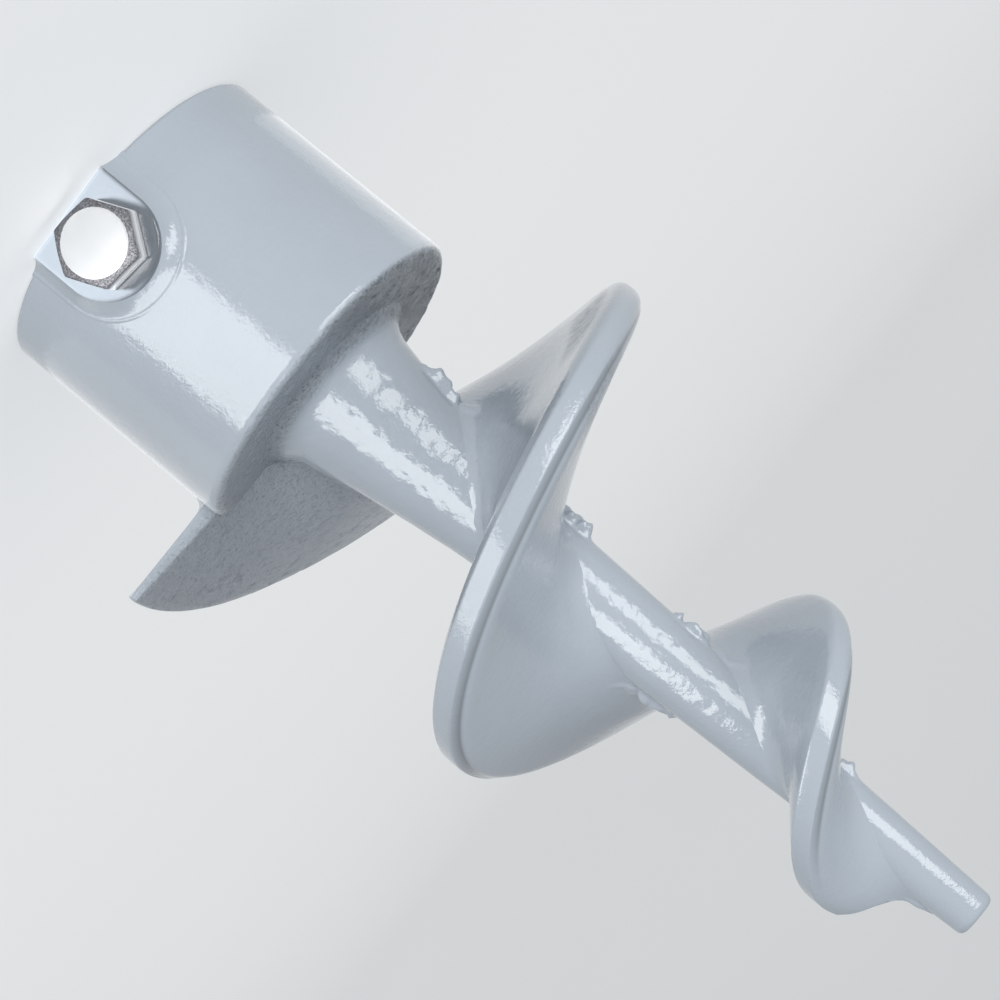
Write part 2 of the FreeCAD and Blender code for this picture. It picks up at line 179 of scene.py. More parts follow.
def hashed(cells):
    """A repeatable number from -1 to 1 for each whole-number cell."""
    mixed = cells[..., 0] * 73856093 ^ cells[..., 1] * 19349663 ^ cells[..., 2] * 83492791
    mixed = (mixed ^ (mixed >> 13)) * 1274126177
    mixed = (mixed ^ (mixed >> 16)) & 0x7FFFFFFF
    return mixed / 0x3FFFFFFF - 1.0


def ripple(points, wavelength, shift=0.0):
    """Smooth noise from -1 to 1 with about this distance between its hills."""
    spread = points / np.asarray(wavelength) + shift
    cell = np.floor(spread).astype(np.int64)
    part = spread - cell
    part = part ** 3 * (part * (part * 6 - 15) + 10)
    total = np.zeros(points.shape[:-1])
    for number in range(8):
        step = np.array([number & 1, number >> 1 & 1, number >> 2 & 1])
        weight = np.prod(np.where(step == 1, part, 1 - part), axis=-1)
        total += weight * hashed(cell + step)
    return total


def peel(points):
    """Ripple of a thick coat of enamel."""
    return 0.020 * ripple(points, 3.4) + 0.010 * ripple(points, 1.7, 31.0)


def casting(points):
    """Coarse skin of the metal under the enamel, where it was never smoothed."""
    coarse = 0.10 * ripple(points, 3.1, 7.0) + 0.08 * ripple(points, 1.3, 3.0)
    rougher = np.clip(0.4 - points[..., 0] / 30, 0.4, 1.6)
    pits = np.clip(ripple(points, 1.7, 50.0) - 0.5, 0, 1)
    return coarse * rougher - 0.9 * pits


# ------------------------------------------------------------- mesh builders

def make_mesh(name, points, faces, material):
    mesh = bpy.data.meshes.new(name)
    mesh.from_pydata((np.asarray(points) * MM).tolist(), [], faces)
    mesh.validate()
    piece = bpy.data.objects.new(name, mesh)
    bpy.context.scene.collection.objects.link(piece)
    mesh.materials.append(material)
    mesh.shade_smooth()
    return piece


def paint(piece, name, values):
    """Store one number per point, which the materials read."""
    layer = piece.data.attributes.new(name, "FLOAT", "POINT")
    layer.data.foreach_set("value", np.asarray(values, np.float32).ravel())


def grid_faces(count, width, around):
    """Quads of a tube-like grid: rows close on themselves; around closes the other way."""
    faces = []
    for row in range(count if around else count - 1):
        following = (row + 1) % count
        for column in range(width):
            beside = (column + 1) % width
            faces.append((row * width + column, following * width + column,
                          following * width + beside, row * width + beside))
    return faces


def grid_piece(name, grid, sharp_columns, material, around):
    """Closed piece from a grid of stations by outline points, capped unless it goes around."""
    count, width = grid.shape[:2]
    faces = grid_faces(count, width, around)
    if not around:
        faces.append(tuple(range(width)))
        faces.append(tuple(reversed(range((count - 1) * width, count * width))))
    piece = make_mesh(name, grid.reshape(-1, 3), faces, material)
    if signed_volume(piece.data) < 0:
        piece.data.flip_normals()
    mark_sharp(piece.data, count, width, sharp_columns, around)
    return piece


def signed_volume(mesh):
    mesh.calc_loop_triangles()
    places = np.zeros(len(mesh.vertices) * 3)
    mesh.vertices.foreach_get("co", places)
    places = places.reshape(-1, 3)
    corners = np.zeros(len(mesh.loop_triangles) * 3, np.int32)
    mesh.loop_triangles.foreach_get("vertices", corners)
    first, second, third = (places[corners.reshape(-1, 3)[:, number]] for number in range(3))
    return float(np.sum(first * np.cross(second, third)) / 6)


def mark_sharp(mesh, count, width, columns, around):
    """Sharp edges along the given columns, and round both caps."""
    ends = np.zeros(len(mesh.edges) * 2, np.int32)
    mesh.edges.foreach_get("vertices", ends)
    ends = ends.reshape(-1, 2)
    column = ends % width
    row = ends // width
    sharp = (column[:, 0] == column[:, 1]) & np.isin(column[:, 0], list(columns))
    if not around:
        for end in (0, count - 1):
            sharp |= (row[:, 0] == end) & (row[:, 1] == end)
    layer = mesh.attributes.new("sharp_edge", "BOOLEAN", "EDGE")
    layer.data.foreach_set("value", sharp)


class Outline:
    """Closed outline in radius and height, drawn with the solid on its left."""

    def __init__(self):
        self.points = []
        self.normals = []
        self.skins = []
        self.sharp = []

    def add(self, point, normal, skin):
        self.points.append(point)
        self.normals.append(normal)
        self.skins.append(skin)

    def line(self, start, finish, step, skin=0.0):
        """Points from start up to, not including, finish."""
        way = np.subtract(finish, start)
        length = np.hypot(*way)
        normal = (way[1] / length, -way[0] / length)
        self.sharp.append(len(self.points))
        for share in np.arange(0, 1, 1 / max(1, round(length / step))):
            self.add(tuple(np.add(start, way * share)), normal, skin)

    def arc(self, centre, radius, start, finish, step, skin=0.0):
        """Arc from one angle to another, in degrees from +radius towards +height."""
        turn = math.radians(finish - start)
        for share in np.arange(0, 1, 1 / max(2, round(abs(turn) * radius / step))):
            angle = math.radians(start) + turn * share
            normal = (math.cos(angle), math.sin(angle))
            outward = normal if turn > 0 else (-normal[0], -normal[1])
            self.add(tuple(np.add(centre, np.multiply(normal, radius))), outward, skin)

    def curve(self, heights, skin=0.0):
        """Points along the core's own outside."""
        slope = (core_radius(heights + 0.01) - core_radius(heights - 0.01)) / 0.02
        for radius, height, lean in zip(core_radius(heights), heights, slope):
            length = math.hypot(1, lean)
            self.add((float(radius), float(height)), (1 / length, -lean / length), skin)


def turn_piece(name, outline, material, around_count, relief):
    """Piece of revolution, with a relief that grows along the outline's normals."""
    angles = np.arange(around_count) * 360 / around_count
    flat = np.array(outline.points)
    normal = np.array(outline.normals)
    grid = polar(angles[:, None], flat[None, :, 0], flat[None, :, 1])
    outward = polar(angles[:, None], normal[None, :, 0], normal[None, :, 1])
    skin = np.array(outline.skins)
    grid = grid + outward * (relief(grid) * skin)[..., None]
    return grid_piece(name, grid, outline.sharp, material, True)


def finish_piece(piece, body, slot, *nodes):
    """Let a piece ride on its body and stand for its CAD nodes. The slot is not used."""
    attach(piece, body)
    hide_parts(*nodes)


# ------------------------------------------------------------------ materials

def shader(name):
    material = bpy.data.materials.new(name)
    material.use_nodes = True
    tree = material.node_tree
    return material, tree.nodes, tree.links, tree.nodes["Principled BSDF"]


def add_noise(nodes, links, scale, detail, roughness=0.5, distortion=0.0, stretch=(1, 1, 1)):
    """Noise in the object's own space. The scale counts hills per metre."""
    place = nodes.new("ShaderNodeTexCoord")
    mapping = nodes.new("ShaderNodeMapping")
    mapping.inputs["Scale"].default_value = stretch
    texture = nodes.new("ShaderNodeTexNoise")
    texture.inputs["Scale"].default_value = scale
    texture.inputs["Detail"].default_value = detail
    texture.inputs["Roughness"].default_value = roughness
    texture.inputs["Distortion"].default_value = distortion
    links.new(place.outputs["Object"], mapping.inputs["Vector"])
    links.new(mapping.outputs["Vector"], texture.inputs["Vector"])
    return texture.outputs["Fac"]


def add_range(nodes, links, value, low, high, to_low, to_high):
    spread = nodes.new("ShaderNodeMapRange")
    limits = (("From Min", low), ("From Max", high), ("To Min", to_low), ("To Max", to_high))
    for name, number in limits:
        spread.inputs[name].default_value = number
    links.new(value, spread.inputs["Value"])
    return spread.outputs["Result"]


def add_math(nodes, links, operation, first, second):
    node = nodes.new("ShaderNodeMath")
    node.operation = operation
    for place, value in enumerate((first, second)):
        if isinstance(value, (int, float)):
            node.inputs[place].default_value = value
        else:
            links.new(value, node.inputs[place])
    return node.outputs[0]


def add_mix(nodes, links, share, first, second):
    """Mix two colours, or sockets that carry colours."""
    node = nodes.new("ShaderNodeMix")
    node.data_type = "RGBA"
    links.new(share, node.inputs["Factor"])
    for socket, value in ((node.inputs["A"], first), (node.inputs["B"], second)):
        if isinstance(value, tuple):
            socket.default_value = (*value, 1.0)
        else:
            links.new(value, socket)
    return node.outputs["Result"]


def add_bump(nodes, links, height, distance, below=None):
    """One layer of bump. The distance is in metres."""
    node = nodes.new("ShaderNodeBump")
    node.inputs["Distance"].default_value = distance
    links.new(height, node.inputs["Height"])
    if below is not None:
        links.new(below, node.inputs["Normal"])
    return node.outputs["Normal"]


def add_attribute(nodes, name):
    node = nodes.new("ShaderNodeAttribute")
    node.attribute_name = name
    return node.outputs["Fac"]


def make_enamel(name, tint):
    """Thick glossy blue-grey enamel. Where "cast" is painted, the coarse metal shows through. A
    painted shade darkens the fine groove beside the rim's land.
    """
    material, nodes, links, surface = shader(name)
    cast = add_attribute(nodes, "cast")
    grime = add_attribute(nodes, "grime")
    cloud = add_noise(nodes, links, 42, 3)
    shade = add_mix(nodes, links, add_range(nodes, links, cloud, 0.3, 0.7, 0, 1),
                    tuple(0.94 * part for part in tint), tint)
    fleck = add_noise(nodes, links, 1500, 2, 0.6)
    specks = add_range(nodes, links, fleck, 0.66, 0.72, 0, 0.45)
    coarse = add_noise(nodes, links, 900, 5, 0.7, 0.4)
    dirt = add_range(nodes, links, coarse, 0.46, 0.36, 0.25, 0.9)
    dark = tuple(0.36 * part for part in tint)
    shade = add_mix(nodes, links, add_math(nodes, links, "MULTIPLY", cast, dirt), shade, dark)
    shade = add_mix(nodes, links, add_math(nodes, links, "MULTIPLY", cast, specks), shade, dark)
    # Painted shade: the groove beside the rim's land is darkened in colour, not by light.
    shade = add_mix(nodes, links, grime, shade, dark)
    links.new(shade, surface.inputs["Base Color"])
    gloss = add_range(nodes, links, add_noise(nodes, links, 130, 4), 0.35, 0.65, 0.03, 0.06)
    dull = add_math(nodes, links, "MULTIPLY", cast, 0.20)
    links.new(add_math(nodes, links, "ADD", gloss, dull), surface.inputs["Roughness"])
    surface.inputs["IOR"].default_value = 1.6
    surface.inputs["Coat Weight"].default_value = 0.35
    surface.inputs["Coat Roughness"].default_value = 0.03
    bump = add_bump(nodes, links, add_noise(nodes, links, 330, 2), 0.00005)
    bump = add_bump(nodes, links, add_noise(nodes, links, 700, 3, 0.6), 0.00010, bump)
    bump = add_bump(nodes, links, add_noise(nodes, links, 1500, 2, 0.5), 0.00003, bump)
    rough = add_math(nodes, links, "MULTIPLY", coarse, cast)
    bump = add_bump(nodes, links, rough, 0.0012, bump)
    links.new(bump, surface.inputs["Normal"])
    links.new(bump, surface.inputs["Coat Normal"])
    return material


def make_zinc(name):
    """Bright zinc plate with fine scratches. Where "chamfer" is painted it is grainy and darker:
    partly grain, partly painted shade that dims the chamfer's reflection.
    """
    material, nodes, links, surface = shader(name)
    edge = add_attribute(nodes, "chamfer")
    grain = add_noise(nodes, links, 2600, 4, 0.7)
    spots = add_range(nodes, links, grain, 0.42, 0.62, 0, 1)
    # Painted shade with grain: the chamfer's darker colour stands in for its shade and keeps its
    # reflection dim.
    chamfer_grain_and_shade = add_mix(nodes, links, spots, (0.12, 0.12, 0.13), (0.38, 0.38, 0.40))
    clean = add_mix(nodes, links, add_noise(nodes, links, 300, 3),
                    (0.80, 0.81, 0.82), (0.88, 0.88, 0.89))
    links.new(add_mix(nodes, links, edge, clean, chamfer_grain_and_shade), surface.inputs["Base Color"])
    surface.inputs["Metallic"].default_value = 1.0
    links.new(add_range(nodes, links, edge, 0, 1, 0.24, 0.5), surface.inputs["Roughness"])
    scratches = add_noise(nodes, links, 500, 3, 0.6, 0.0, (1, 1, 9))
    bump = add_bump(nodes, links, scratches, 0.000012)
    bump = add_bump(nodes, links, add_math(nodes, links, "MULTIPLY", grain, edge), 0.00016, bump)
    links.new(bump, surface.inputs["Normal"])
    return material


def make_backdrop_paint():
    material, nodes, links, surface = shader("backdrop")
    tone = add_mix(nodes, links, add_noise(nodes, links, 3, 2),
                   (0.87, 0.88, 0.88), (0.90, 0.91, 0.91))
    links.new(tone, surface.inputs["Base Color"])
    surface.inputs["Roughness"].default_value = 0.8
    return material


TINT = (0.335, 0.378, 0.425)
ENAMEL = make_enamel("enamel", TINT)
ZINC = make_zinc("zinc_steel")


# --------------------------------------------------------------- socket pieces

AROUND = 480
FINE = 0.7
MOUTH_ROUND = 0.8
BORE_ROUND = 0.6
SEAM_LOW = TUBE_LENGTH - SEAM_DEPTH
SEAM_HIGH = TUBE_LENGTH + SEAM_DEPTH
SEAM_BOTTOM = SOCKET_RADIUS - SEAM_DEPTH
HOLE_SIDES = 64
CUT_OUTSIDE = 5
CUT_INSIDE = 6


def make_socket_tube():
    """Tube with a rounded mouth and half of the seam's V groove."""
    outline = Outline()
    outline.line((BORE_RADIUS + BORE_ROUND, 0), (SOCKET_RADIUS - MOUTH_ROUND, 0), 2.0)
    outline.arc((SOCKET_RADIUS - MOUTH_ROUND, MOUTH_ROUND), MOUTH_ROUND, -90, 0, 0.2)
    outline.line((SOCKET_RADIUS, MOUTH_ROUND), (SOCKET_RADIUS, SEAM_LOW), FINE, 1.0)
    outline.line((SOCKET_RADIUS, SEAM_LOW), (SEAM_BOTTOM, TUBE_LENGTH), 4.0)
    outline.line((SEAM_BOTTOM, TUBE_LENGTH), (BORE_RADIUS, TUBE_LENGTH), 6.0)
    outline.line((BORE_RADIUS, TUBE_LENGTH), (BORE_RADIUS, BORE_ROUND), 3.0)
    outline.arc((BORE_RADIUS + BORE_ROUND, BORE_ROUND), BORE_ROUND, 180, 270, 0.2)
    tube = turn_piece("tube", outline, ENAMEL, AROUND, peel)
    cut_hole(tube)
    finish_piece(tube, "auger_point", "enamel", "socket_tube")


def cut_hole(piece):
    """Open the bolt's hole through the front wall."""
    ring = []
    for number in range(HOLE_SIDES):
        angle = 2 * math.pi * number / HOLE_SIDES
        ring.append((HOLE_RADIUS * math.cos(angle), HOLE_RADIUS * math.sin(angle) + BOLT_HEIGHT))
    depths = (-SOCKET_RADIUS - CUT_OUTSIDE, -BORE_RADIUS + CUT_INSIDE)
    grid = np.array([[(across, depth, height) for across, height in ring] for depth in depths])
    cutter = grid_piece("hole_cutter", grid, (), ENAMEL, False)
    cut = piece.modifiers.new("hole", "BOOLEAN")
    cut.operation = "DIFFERENCE"
    cut.solver = "EXACT"
    cut.object = cutter
    bpy.context.view_layer.update()
    graph = bpy.context.evaluated_depsgraph_get()
    mesh = bpy.data.meshes.new_from_object(piece.evaluated_get(graph))
    piece.modifiers.clear()
    piece.data = mesh
    bpy.data.objects.remove(cutter)


def make_seam_weld():
    """Weld that fills the V groove between tube and disc."""
    outline = Outline()
    outline.line((SOCKET_RADIUS, SEAM_LOW), (SOCKET_RADIUS, SEAM_HIGH), FINE, 1.0)
    outline.line((SOCKET_RADIUS, SEAM_HIGH), (SEAM_BOTTOM, TUBE_LENGTH), 4.0)
    outline.line((SEAM_BOTTOM, TUBE_LENGTH), (SOCKET_RADIUS, SEAM_LOW), 4.0)
    ring = turn_piece("seam_weld", outline, ENAMEL, AROUND, peel)
    finish_piece(ring, "auger_point", "enamel_weld", "socket_seam_weld")


def make_socket_base():
    """The disc. Its tip-side face is as cast, and roughest towards -X."""
    rounding = (SOCKET_RADIUS - DISC_EDGE, DISC_TOP - DISC_EDGE)
    outline = Outline()
    outline.line((SPIGOT_RADIUS, TUBE_LENGTH), (SEAM_BOTTOM, TUBE_LENGTH), 6.0)
    outline.line((SEAM_BOTTOM, TUBE_LENGTH), (SOCKET_RADIUS, SEAM_HIGH), 4.0)
    outline.line((SOCKET_RADIUS, SEAM_HIGH), (SOCKET_RADIUS, rounding[1]), FINE, 1.0)
    outline.arc(rounding, DISC_EDGE, 0, 90, 0.4, 1.0)
    outline.line((rounding[0], DISC_TOP), (SPIGOT_RADIUS, DISC_TOP), 0.6, 1.0)
    outline.sharp.pop()      # the rounded edge runs smoothly into the face
    outline.line((SPIGOT_RADIUS, DISC_TOP), (SPIGOT_RADIUS, TUBE_LENGTH), 4.0)
    disc = turn_piece("socket_disc", outline, ENAMEL, AROUND, disc_relief)
    places = read_points(disc)
    rougher = 0.6 + smooth_step((-places[..., 0] - 6) / 18)
    paint(disc, "cast", cast_share(places) * rougher)
    finish_piece(disc, "auger_point", "enamel", "socket_base")


def disc_relief(points):
    return peel(points) + cast_share(points) * casting(points)


def cast_share(points):
    """How rough the skin is on the disc: none on its side, full on its tip-side face."""
    return smooth_step((points[..., 2] - DISC_TOP + 1.6) / 1.5)


def read_points(piece):
    places = np.zeros(len(piece.data.vertices) * 3)
    piece.data.vertices.foreach_get("co", places)
    return places.reshape(-1, 3) / MM


# ----------------------------------------------------------------- core pieces

# Flash left in the mould's parting plane: an angle in degrees, two heights and how proud it is.
FLASH = (
    (180, 72.0, 84.0, 2.1),
    (180, 113.0, 123.5, 2.6),
    (180, 147.8, 150.0, 1.2),
    (180, 151.0, 158.0, 2.0),
    (0, 152.0, 161.5, 2.0),
    (180, 190.0, 199.8, 1.4),
)
FLASH_HALF = 1.5

# Where the core's coarse and streaky skins lie: degrees round from its front, and heights.
COARSE_FROM = -62
COARSE_TO = 24
COARSE_TOP = 166
STREAKS_FROM = 34
STREAKS_TOP = 170
SKIN_FADE = 12

TIP_CROWN = 0.02
FOOT_BURIED = 3
FOOT_SUNK = 0.5
FOOT_CAST = 3.5


def core_skin(points):
    """Ripple of the core: coarse along its front, streaky on one side, fine to the tip."""
    turned = np.degrees(np.arctan2(points[..., 0], -points[..., 1]))
    height = points[..., 2]
    coarse = smooth_step((COARSE_TO - turned) / 14) * smooth_step((turned - COARSE_FROM) / 16)
    coarse = coarse * (1 - smooth_step((height - COARSE_TOP) / SKIN_FADE))
    streaks = smooth_step((turned - STREAKS_FROM) / SKIN_FADE)
    streaks = streaks * (1 - smooth_step((height - STREAKS_TOP) / SKIN_FADE))
    relief = peel(points) + 0.02 * ripple(points, (2.6, 2.6, 4.2), 11.0)
    relief += coarse * (0.08 * ripple(points, 3.0, 21.0) + 0.065 * ripple(points, 1.5, 5.0))
    relief += coarse * 0.02 * ripple(points, 0.9, 60.0)
    relief += streaks * 0.05 * ripple(points, (1.6, 1.6, 15.0), 13.0)
    return relief + flash(points)


def flash(points):
    """Short ridges with jagged tops in the parting plane."""
    relief = np.zeros(points.shape[:-1])
    for angle, low, high, proud in FLASH:
        side = points[..., 0] * math.cos(math.radians(angle))
        across = np.exp(-(points[..., 1] / FLASH_HALF) ** 4) * (side > 0)
        middle, half = (low + high) / 2, (high - low) / 2
        along = np.exp(-(abs(points[..., 2] - middle) / half) ** 6)
        relief += proud * across * along * (0.9 + 0.6 * ripple(points, 1.7, 40.0))
    return relief


def make_core():
    """Solid core with its spigot, hollow curve, straight taper and blunt tip."""
    round_centre = (TIP_RADIUS - TIP_ROUND, TOTAL_LENGTH - TIP_ROUND)
    outline = Outline()
    outline.line((CENTRE, TUBE_LENGTH), (SPIGOT_RADIUS, TUBE_LENGTH), 6.0)
    outline.line((SPIGOT_RADIUS, TUBE_LENGTH), (SPIGOT_RADIUS, DISC_TOP), 4.0)
    outline.line((SPIGOT_RADIUS, DISC_TOP), (FOOT_RADIUS, DISC_TOP), 4.0)
    outline.sharp.append(len(outline.points))
    outline.curve(np.arange(DISC_TOP, round_centre[1], 0.5), 1.0)
    outline.arc(round_centre, TIP_ROUND, 0, 84, 0.25, 0.5)
    outline.line((round_centre[0], TOTAL_LENGTH - TIP_CROWN), (CENTRE, TOTAL_LENGTH), 0.5, 0.3)
    outline.sharp.pop()
    outline.line((CENTRE, TOTAL_LENGTH), (CENTRE, TUBE_LENGTH), 200)
    core = turn_piece("core", outline, ENAMEL, 240, core_skin)
    finish_piece(core, "auger_point", "enamel", "core_shaft")


def make_foot_weld():
    """Hollow ring that spreads the core's foot on to the disc."""
    outline = Outline()
    inside = FOOT_RADIUS - FOOT_BURIED
    low = DISC_TOP - FOOT_SUNK
    top = DISC_TOP + FOOT_WELD
    start = np.array([FOOT_RADIUS + FOOT_WELD, low])
    bend = np.array([FOOT_RADIUS, DISC_TOP])
    finish = np.array([float(core_radius(top)) - 0.05, top])
    outline.line((inside, low), tuple(start), 6.0)
    outline.sharp.append(len(outline.points))
    for share in np.linspace(0, 1, 19)[:-1]:
        place = start * (1 - share) ** 2 + bend * 2 * share * (1 - share) + finish * share ** 2
        way = (bend - start) * (1 - share) + (finish - bend) * share
        length = np.hypot(*way)
        outline.add(tuple(place), (way[1] / length, -way[0] / length), 1.0)
    outline.line(tuple(finish), (inside, top), 6.0)
    outline.line((inside, top), (inside, low), 6.0)
    ring = turn_piece("foot_weld", outline, ENAMEL, AROUND // 2, foot_relief)
    paint(ring, "cast", foot_roughness(read_points(ring)))
    finish_piece(ring, "auger_point", "enamel_weld", "core_foot_weld")


def foot_roughness(points):
    """How rough the skin is on the foot weld: full at the disc, none further up."""
    return 1 - smooth_step((points[..., 2] - DISC_TOP) / FOOT_CAST)


def foot_relief(points):
    return peel(points) + foot_roughness(points) * casting(points)


# --------------------------------------------------------------- flight pieces

FILLET_POINTS = 12
FLANK_POINTS = 30
SHOULDER_POINTS = 7
LAND_POINTS = 8
EDGE_ROUND = 0.5
GROUND_ROUND = 1.3
WELD_START = 0.15
WELD_GROWTH = 0.15
LAND_EXTRA = 0.9
LAND_GROWTH = 0.3
LIP_SUNK = 0.12
CLIMB_LIMIT = 0.4
WING_BEND = 3.0


def flank(turns, side, radius, inset=0.0):
    """Height of a flank at a radius. side is -1 to the socket, 1 to the tip."""
    rim, root = rim_half(turns), root_half(turns)
    outer = rim_radius(turns) - SHOULDER
    inner = core_radius(rim_height(turns))
    half = rim - inset + (root - rim) * (outer - radius) / (outer - inner)
    return rim_height(turns) + side * half


def root_corner(turns, side):
    """Radius at which a flank meets the core."""
    radius = core_radius(rim_height(turns))
    for _ in range(4):
        radius = core_radius(flank(turns, side, radius))
    return radius


def edge_round(turns):
    """Rounding of the land's edges, larger where the mould's flash was ground off the rim."""
    angle = math.radians(FLIGHT_ANGLE + 360 * turns)
    if math.cos(angle) > 0:
        return EDGE_ROUND
    return EDGE_ROUND + GROUND_ROUND * math.exp(-(math.sin(angle) / 0.55) ** 4)


def bend_points(start, bend, finish, count):
    """Points of a curve that leaves start and reaches finish heading for the bend."""
    share = np.linspace(0, 1, count, endpoint=False)[:, None]
    return start * (1 - share) ** 2 + bend * 2 * share * (1 - share) + finish * share ** 2


def half_section(turns, side, inset):
    """Section from the core to the rim's middle, as radius and height."""
    growth = WELD_START + (1 - WELD_START) * smooth_step(turns / WELD_GROWTH)
    rim = rim_radius(turns) - inset
    middle = rim_height(turns)
    land = LAND_LOW if side < 0 else LAND_HIGH
    other_land = LAND_LOW + LAND_HIGH - land
    wider = 1 + LAND_EXTRA - LAND_EXTRA * smooth_step(turns / LAND_GROWTH)
    scale = rim_half(turns) / RIM_HALF * wider
    core = float(root_corner(turns, side))
    root = np.array([core, flank(turns, side, core)])
    lip_height = root[1] + side * WELD_LEG * growth
    lip = np.array([float(core_radius(lip_height)) - LIP_SUNK, lip_height])
    climb = min(WELD_CLIMB * growth, CLIMB_LIMIT * (rim - SHOULDER - core))
    toe = np.array([core + climb, flank(turns, side, core + climb)])
    wing = np.array([rim - SHOULDER, flank(turns, side, rim - SHOULDER, inset)])
    low_rim = rim - LAND_CROWN
    edge = np.array([low_rim, middle + side * (land * scale - inset * 0.5)])
    far_edge = np.array([low_rim, middle - side * (other_land * scale - inset * 0.5)])
    wing_start = wing + (toe - wing) * min(0.5, WING_BEND / np.hypot(*(wing - toe)))
    shoulder_end = (wing + edge) / 2
    land_middle = (edge + far_edge) / 2 + np.array([LAND_CROWN, 0])
    rounding = edge_round(turns)
    to_shoulder = shoulder_end - edge
    to_middle = land_middle - edge
    edge_start = edge + to_shoulder * min(1, rounding / np.hypot(*to_shoulder))
    edge_end = edge + to_middle * min(0.8, rounding / np.hypot(*to_middle))
    parts = [
        bend_points(lip, root, toe, FILLET_POINTS),
        bend_points(toe, (toe + wing_start) / 2, wing_start, FLANK_POINTS),
        bend_points(wing_start, wing, shoulder_end, SHOULDER_POINTS),
        bend_points(edge_start, edge, edge_end, LAND_POINTS - 1),
        edge_end[None, :],
    ]
    return np.concatenate(parts), land_middle


def section(turns, inset=0.0):
    """Whole visible section, from the socket-side lip over the rim to the tip-side lip."""
    low, middle = half_section(turns, -1, inset)
    high, _ = half_section(turns, 1, inset)
    return np.concatenate([low, middle[None, :], high[::-1]])


HALF_COUNT = FILLET_POINTS + FLANK_POINTS + SHOULDER_POINTS + LAND_POINTS
SECTION_COUNT = 2 * HALF_COUNT + 1
LOW_TOE = FILLET_POINTS
HIGH_TOE = SECTION_COUNT - 1 - FILLET_POINTS
PER_TURN = 400
JOINT_STATIONS = 7
CUT_ROUND = 0.35
START_RADIUS = 50        # about the middle of the flight's first edge, and of its last
END_RADIUS = 14
COAT_SINK = 0.06
GROOVE_DEPTH = 0.25
# Strength of the painted shade in the groove's colour.
GROOVE_PAINTED_SHADE = 0.8


def flight_stations():
    """Counts of turns at which the flight is drawn, with one at each end of each piece."""
    first = np.linspace(0, JOINT_TURN - JOINT_HALF, PER_TURN)
    joint = np.linspace(JOINT_TURN - JOINT_HALF, JOINT_TURN + JOINT_HALF, JOINT_STATIONS)
    second = np.linspace(JOINT_TURN + JOINT_HALF, FLIGHT_TURNS, PER_TURN)
    starting = CUT_ROUND / (2 * math.pi * START_RADIUS)
    ending = CUT_ROUND / (2 * math.pi * END_RADIUS)
    return np.concatenate([
        [0.0, starting], first[1:], joint[1:], second[1:-1],
        [FLIGHT_TURNS - ending, FLIGHT_TURNS],
    ])


# Patches of rough skin on the flight: a turn, a column of the section and their half widths.
ROUGH_PATCHES = ((0.56, 38, 0.05, 6), (0.64, 72, 0.035, 8))


def flight_roughness(turns, columns):
    """Share of cast skin: the tip side of the flight's first third of a turn, and patches."""
    along = 1 - smooth_step((turns - 0.2) / 0.16)
    across = smooth_step((columns - HALF_COUNT - 4) / 6)
    share = 0.6 * along * across
    for turn, column, long, wide in ROUGH_PATCHES:
        share += 0.45 * np.exp(-((turns - turn) / long) ** 4 - ((columns - column) / wide) ** 4)
    return share


def root_flash(points, turns, columns):
    """Ridges of flash up the flight's root, where it crosses the parting plane."""
    across = np.exp(-(points[..., 1] / FLASH_HALF) ** 4)
    near = np.minimum(columns, SECTION_COUNT - 1 - columns)
    along = smooth_step(near / 2) * (1 - smooth_step((near - 4) / 4))
    jagged = 0.6 + 0.4 * ripple(points, 1.8, 17.0)
    later = smooth_step((turns - 0.25) / 0.05)
    return across * along * jagged * later


def flight_surface():
    """The flight's whole skin with its relief: stations by section points."""
    stations = flight_stations()
    last = len(stations) - 1
    rings = [section(turns, CUT_ROUND if number in (0, last) else 0.0)
             for number, turns in enumerate(stations)]
    flat = np.array(rings)
    angles = FLIGHT_ANGLE + 360 * stations
    grid = polar(angles[:, None], flat[..., 0], flat[..., 1])
    along = np.gradient(grid, axis=0)
    across = np.gradient(grid, axis=1)
    normal = np.cross(along, across)
    normal /= np.linalg.norm(normal, axis=-1, keepdims=True)
    turns, columns = np.meshgrid(stations, np.arange(SECTION_COUNT), indexing="ij")
    rough = flight_roughness(turns, columns)
    relief = peel(grid) + rough * casting(grid) + 0.02 * ripple(grid, 6.0, 90.0)
    groove = crease(turns, columns)
    relief += root_flash(grid, turns, columns) - GROOVE_DEPTH * groove - COAT_SINK
    return stations, grid + normal * relief[..., None], rough, groove


def crease(turns, columns):
    """Fine groove beside the rim's land, on the tip side. The same share also paints shade into the
    groove's colour.
    """
    across = np.exp(-((columns - HALF_COUNT - LAND_POINTS - 1) / 0.8) ** 2)
    return across * smooth_step((turns - 0.3) / 0.2) * (1 - smooth_step((turns - 1.75) / 0.2))


def hidden_points(turns, sides):
    """Points that close a piece inside the core, one for each side given."""
    points = []
    for side in sides:
        radius = float(root_corner(turns, side)) - ROOT_DEPTH
        points.append(polar(FLIGHT_ANGLE + 360 * turns, radius, flank(turns, side, radius)))
    return points


def flight_piece(name, surface, first, last, slot, node):
    """One flight: its skin between the two toes, closed inside the core."""
    stations, grid, rough, groove = surface
    rows = slice(first, last + 1)
    inner = [hidden_points(turns, (1, -1)) for turns in stations[rows]]
    skin = grid[rows, LOW_TOE:HIGH_TOE + 1]
    whole = np.concatenate([skin, np.array(inner)], axis=1)
    width = skin.shape[1]
    piece = grid_piece(name, whole, (0, width - 1, width, width + 1), ENAMEL, False)
    # The groove's share is painted in as shade.
    for attribute, shares in (("cast", rough), ("grime", GROOVE_PAINTED_SHADE * groove)):
        paint(piece, attribute, np.pad(shares[rows, LOW_TOE:HIGH_TOE + 1], ((0, 0), (0, 2))))
    finish_piece(piece, "auger_point", slot, node)


